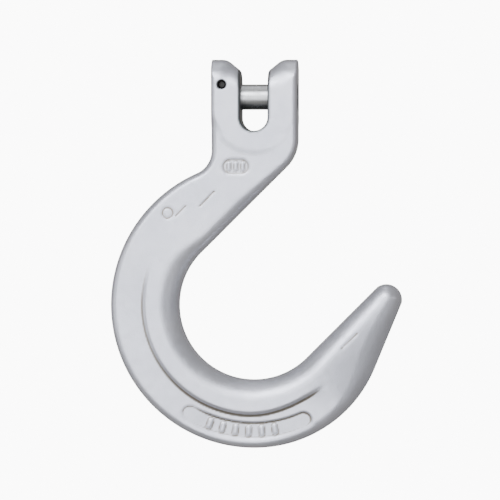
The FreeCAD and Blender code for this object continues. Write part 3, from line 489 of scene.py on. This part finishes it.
def relax(points, quads, rounds):
    """Even out the points' spacing, each within the surface's own plane."""
    pairs = np.concatenate([quads[:, (i, (i + 1) % 4)] for i in range(4)])
    count = np.bincount(pairs[:, 0], minlength=len(points))
    for _ in range(rounds):
        total = [np.bincount(pairs[:, 0], points[pairs[:, 1], k], len(points)) for k in range(3)]
        drift = np.stack(total, 1) / count[:, None] - points
        normal = steepest(points)
        normal = normal / np.linalg.norm(normal, axis=1)[:, None]
        drift = drift - (drift * normal).sum(1)[:, None] * normal
        points = settle(points + RELAX_SHARE * drift, rounds=1)
    return points


def surface_bend(points):
    """How sharply the surface bends at each point: above 0 on edges, below 0 in hollows."""
    around = sum(metal(*(points + step).T) + metal(*(points - step).T) for step in np.eye(3) * BEND_REACH)
    return (around - 6 * metal(*points.T)) / BEND_REACH ** 2


def painted_shade_share(x, y, z):
    """Share of painted shade: whole in slot and holes, a little in the panel and the neck's patch."""
    slot, bore, hole = openings(x, y, z)
    painted_shade = 1 - ramp(np.minimum.reduce((slot - SLOT_RIM, bore, hole)), *PAINTED_SHADE_FADE)
    painted_shade = np.maximum(painted_shade, raised(panel(x, z)[0], RECESS_SHADE, MARK_SOFT))
    return np.maximum(painted_shade, raised(neck_patch(x, z), RECESS_SHADE, MARK_SOFT) * (y < 0))


def forged_hook():
    """Mesh of the whole forging, with its bend and its share of painted shade as values on the points."""
    margin = 2 * PITCH
    points, quads = surface_net([edge - margin for edge in hook_low], [edge + margin for edge in hook_high])
    points = relax(settle(points, rounds=3), quads, rounds=3)
    points = settle(points, rounds=2)
    mesh = bpy.data.meshes.new("hook_forging")
    mesh.from_pydata((points * MM).tolist(), [], quads.tolist())
    mesh.shade_smooth()
    for name, values in (("bend", surface_bend(points)), ("painted_shade", painted_shade_share(*points.T))):
        shade = mesh.attributes.new(name, "FLOAT", "POINT")
        shade.data.foreach_set("value", values.astype(np.float32))
    print("hook quads", len(quads))
    return mesh


hook = bpy.data.objects.new("hook_forging", forged_hook())
bpy.context.scene.collection.objects.link(hook)
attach(hook, "hook")
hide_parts("hook_body")


# ---------------------------------------------------------------- materials

def new_material(name):
    material = bpy.data.materials.new(name)
    material.use_nodes = True
    tree = material.node_tree
    return material, tree, tree.nodes["Principled BSDF"]


def node(tree, kind, **values):
    """A node with its plain properties and unlinked inputs set by name."""
    made = tree.nodes.new(kind)
    for name, value in values.items():
        if hasattr(made, name):
            setattr(made, name, value)
        else:
            made.inputs[name.replace("_", " ")].default_value = value
    return made


def noise(tree, scale, detail=3.0, roughness=0.5):
    place = node(tree, "ShaderNodeTexCoord")
    made = node(tree, "ShaderNodeTexNoise", Scale=scale, Detail=detail, Roughness=roughness)
    tree.links.new(place.outputs["Object"], made.inputs["Vector"])
    return made.outputs["Fac"]


def ranged(tree, value, low, high, to_low, to_high):
    """A value's range from low to high carried over to another range."""
    made = node(tree, "ShaderNodeMapRange", From_Min=low, From_Max=high, To_Min=to_low, To_Max=to_high)
    tree.links.new(value, made.inputs["Value"])
    return made.outputs["Result"]


def blend(tree, share, first, second):
    """Colour between two others, each a colour or a socket."""
    made = node(tree, "ShaderNodeMix", data_type="RGBA")
    tree.links.new(share, made.inputs["Factor"])
    for name, colour in (("A", first), ("B", second)):
        socket = next(item for item in made.inputs if item.name == name and item.type == "RGBA")
        if isinstance(colour, tuple):
            socket.default_value = (*colour, 1)
        else:
            tree.links.new(colour, socket)
    return next(item for item in made.outputs if item.type == "RGBA")


def bumped(tree, shader, layers):
    """Stack bumps, each a height socket with its depth in metres."""
    normal = None
    for height, depth in layers:
        made = node(tree, "ShaderNodeBump", Distance=depth)
        tree.links.new(height, made.inputs["Height"])
        if normal is not None:
            tree.links.new(normal, made.inputs["Normal"])
        normal = made.outputs["Normal"]
    tree.links.new(normal, shader.inputs["Normal"])


SILVER = ((0.59, 0.605, 0.69), (0.65, 0.66, 0.74))
# painted shade: brownish dark laid into hollows and creases
HOLLOW_PAINTED_SHADE = (0.25, 0.225, 0.20)
# painted shade for slot, holes, panel and the neck's patch
PAINTED_SHADE_COLOUR = (0.16, 0.17, 0.18)
TURNED_STEEL = ((0.40, 0.41, 0.43), (0.58, 0.585, 0.60))
BLACK_STEEL = ((0.008, 0.008, 0.010), (0.022, 0.021, 0.020))
BLAST_GRAIN = ((1600, 0.00004), (300, 0.00006), (110, 0.00006))  # noise scales, bump depths in metres
FINE_BUMP = 0.00002  # bump depth of the pins' surfaces, metres


def forged_finish():
    """Satin silver coating over a shot-blasted forging, with painted shade in its hollows and a dark
    painted shade in slot, holes, panel and patch.
    """
    material, tree, shader = new_material("forged_finish")
    bend = node(tree, "ShaderNodeAttribute", attribute_name="bend").outputs["Fac"]
    # painted shade in hollows, deepest where the surface bends in most
    hollow = ranged(tree, bend, low=-0.5, high=-0.08, to_low=1.0, to_high=0.0)
    # painted shade in slot, holes, panel and the neck's patch
    painted_shade = node(tree, "ShaderNodeAttribute", attribute_name="painted_shade").outputs["Fac"]
    patches = ranged(tree, noise(tree, 45), low=0.35, high=0.65, to_low=0.0, to_high=1.0)
    colour = blend(tree, patches, *SILVER)
    colour = blend(tree, hollow, colour, HOLLOW_PAINTED_SHADE)
    colour = blend(tree, painted_shade, colour, PAINTED_SHADE_COLOUR)
    tree.links.new(colour, shader.inputs["Base Color"])
    shader.inputs["Metallic"].default_value = 0.85
    roughness = ranged(tree, noise(tree, 260), low=0.3, high=0.7, to_low=0.36, to_high=0.46)
    tree.links.new(roughness, shader.inputs["Roughness"])
    bumped(tree, shader, [(noise(tree, scale, 2), depth) for scale, depth in BLAST_GRAIN])
    return material


def turned_finish():
    """Turned and hardened steel with fine rings round the pin's axis."""
    material, tree, shader = new_material("turned_finish")
    place = node(tree, "ShaderNodeTexCoord")
    stretch = node(tree, "ShaderNodeMapping", Scale=(3000, 60, 60))
    rings = node(tree, "ShaderNodeTexNoise", Scale=1.0, Detail=2.0)
    tree.links.new(place.outputs["Object"], stretch.inputs["Vector"])
    tree.links.new(stretch.outputs["Vector"], rings.inputs["Vector"])
    colour = blend(tree, rings.outputs["Fac"], *TURNED_STEEL)
    tree.links.new(colour, shader.inputs["Base Color"])
    shader.inputs["Metallic"].default_value = 1.0
    roughness = ranged(tree, noise(tree, 400), low=0.3, high=0.7, to_low=0.26, to_high=0.40)
    tree.links.new(roughness, shader.inputs["Roughness"])
    bumped(tree, shader, ((rings.outputs["Fac"], FINE_BUMP),))
    return material


def spring_finish():
    """Blackened hardened steel."""
    material, tree, shader = new_material("spring_finish")
    colour = blend(tree, noise(tree, 700), *BLACK_STEEL)
    tree.links.new(colour, shader.inputs["Base Color"])
    shader.inputs["Specular IOR Level"].default_value = 0.25
    roughness = ranged(tree, noise(tree, 900), low=0.3, high=0.7, to_low=0.35, to_high=0.55)
    tree.links.new(roughness, shader.inputs["Roughness"])
    bumped(tree, shader, ((noise(tree, 2500), FINE_BUMP),))
    return material


def dress(item, material):
    item.data.materials.clear()
    item.data.materials.append(material)


dress(hook, forged_finish())
dress(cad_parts["load_pin"], turned_finish())
dress(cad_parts["retaining_pin"], spring_finish())


# ---------------------------------------------------------------- studio and camera

ROOM_FLOOR = -2.6  # height of the floor, metres
ROOM_CENTRE = 0.01  # radius where the floor begins
ROOM_RADIUS = 6.0
ROOM_COVE = 1.2  # radius of the bend between floor and wall
ROOM_TOP = 6.0
ROOM_SIDES = 64
COVE_STEPS = 12


def studio():
    """A pale round room: a floor that runs up into the wall. Only the camera sees it."""
    flat = ROOM_RADIUS - ROOM_COVE
    profile = [(ROOM_CENTRE, ROOM_FLOOR), (flat, ROOM_FLOOR)]
    for step in range(1, COVE_STEPS + 1):
        turn = math.pi / 2 * step / COVE_STEPS
        out, up = flat + ROOM_COVE * math.sin(turn), ROOM_FLOOR + ROOM_COVE - ROOM_COVE * math.cos(turn)
        profile.append((out, up))
    profile.append((ROOM_RADIUS, ROOM_TOP))
    turns = [math.tau * step / ROOM_SIDES for step in range(ROOM_SIDES)]
    verts = [(out * math.cos(turn), out * math.sin(turn), up) for out, up in profile for turn in turns]
    faces = []
    for row in range(len(profile) - 1):
        below, above = ROOM_SIDES * row, ROOM_SIDES * (row + 1)
        for side in range(ROOM_SIDES):
            after = (side + 1) % ROOM_SIDES
            faces.append((below + side, below + after, above + after, above + side))
    mesh = bpy.data.meshes.new("studio_room")
    mesh.from_pydata(verts, [], faces)
    mesh.shade_smooth()
    room = bpy.data.objects.new("studio_room", mesh)
    bpy.context.scene.collection.objects.link(room)
    room.visible_diffuse = room.visible_glossy = room.visible_shadow = False
    material, _, shader = new_material("studio_paper")
    shader.inputs["Base Color"].default_value = (0.9, 0.9, 0.9, 1)
    shader.inputs["Roughness"].default_value = 1.0
    shader.inputs["Emission Color"].default_value = (1, 1, 1, 1)
    shader.inputs["Emission Strength"].default_value = 10.0
    dress(room, material)


def soft_light(name, place, target, size, power):
    """A large rectangular lamp aimed at the target."""
    lamp = bpy.data.lights.new(name, "AREA")
    lamp.shape = "RECTANGLE"
    lamp.size, lamp.size_y = size
    lamp.energy = power
    lamp.color = DAYLIGHT
    item = bpy.data.objects.new(name, lamp)
    item.location = place
    item.rotation_euler = (Vector(target) - Vector(place)).to_track_quat("-Z", "Y").to_euler()
    bpy.context.scene.collection.objects.link(item)


def camera_at(target, azimuth, distance, width):
    """Long lens that looks at a target from an angle round the hook and takes in a width there."""
    data = bpy.data.cameras.new("camera")
    data.lens = data.sensor_width * distance / width
    item = bpy.data.objects.new("camera", data)
    item.location = target + distance * Vector((math.sin(azimuth), -math.cos(azimuth), 0))
    item.rotation_euler = (math.pi / 2, 0, azimuth)
    data.clip_end = CAMERA_REACH
    bpy.context.scene.collection.objects.link(item)
    bpy.context.scene.camera = item


CAMERA_REACH = 20  # metres, past the room's far wall
DAYLIGHT = (0.955, 0.975, 1.0)
SHADE = (0.345, 0.335, 0.308, 1)  # light from all sides
LIGHTS = (  # name, place, width and height in metres, power in watts
    ("key_light", (-0.35, -1.45, 0.85), (0.9, 0.8), 27),
    ("front_light", (-0.2, -2.2, -0.2), (2.2, 1.5), 32),
    ("top_light", (-0.1, 0.0, 2.0), (1.6, 0.5), 4),
    ("right_light", (1.7, -1.2, -0.3), (0.8, 1.4), 3),
    ("left_light", (-1.8, -1.0, 0.0), (0.8, 1.4), 7),
)

studio()
middle = (cad_low + cad_high) / 2
for name, place, size, power in LIGHTS:
    soft_light(name, place, middle, size, power)
world = bpy.data.worlds.new("studio_air")
world.use_nodes = True
world.node_tree.nodes["Background"].inputs["Color"].default_value = SHADE
bpy.context.scene.world = world
camera_at(target=Vector((-0.0026, 0, -0.0775)), azimuth=math.radians(3.75), distance=3.0, width=0.2535)
